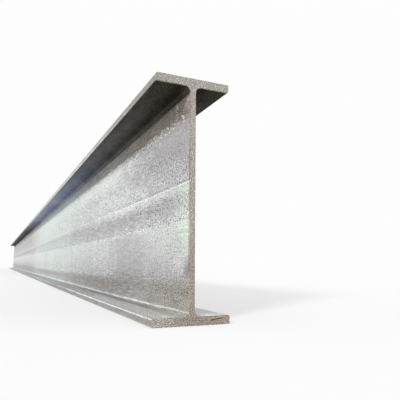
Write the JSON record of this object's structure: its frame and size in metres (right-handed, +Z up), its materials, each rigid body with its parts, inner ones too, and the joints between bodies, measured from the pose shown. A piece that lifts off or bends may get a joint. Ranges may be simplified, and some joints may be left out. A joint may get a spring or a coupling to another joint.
{
  "type": "steel h-beam",
  "caption": "Hot-rolled steel H-beam in a deep narrow-flange section, a straight stock length with mill scale and square-sawn ends.",
  "frame": {"origin": "middle of the beam's length and width, on the underside of the bottom flange, at floor level", "axes": "+X across the flanges, +Y along the beam, +Z up the web from the bottom flange to the top one"},
  "size_m": [0.1024, 6, 0.3127],
  "materials": {
    "mill_scaled_steel": "hot-rolled mill scale, dull silver grey with dust and light rust, sawn ends browned"
  },
  "bodies": {
    "root": {"h_beam": "mill_scaled_steel"}
  },
  "joints": []
}
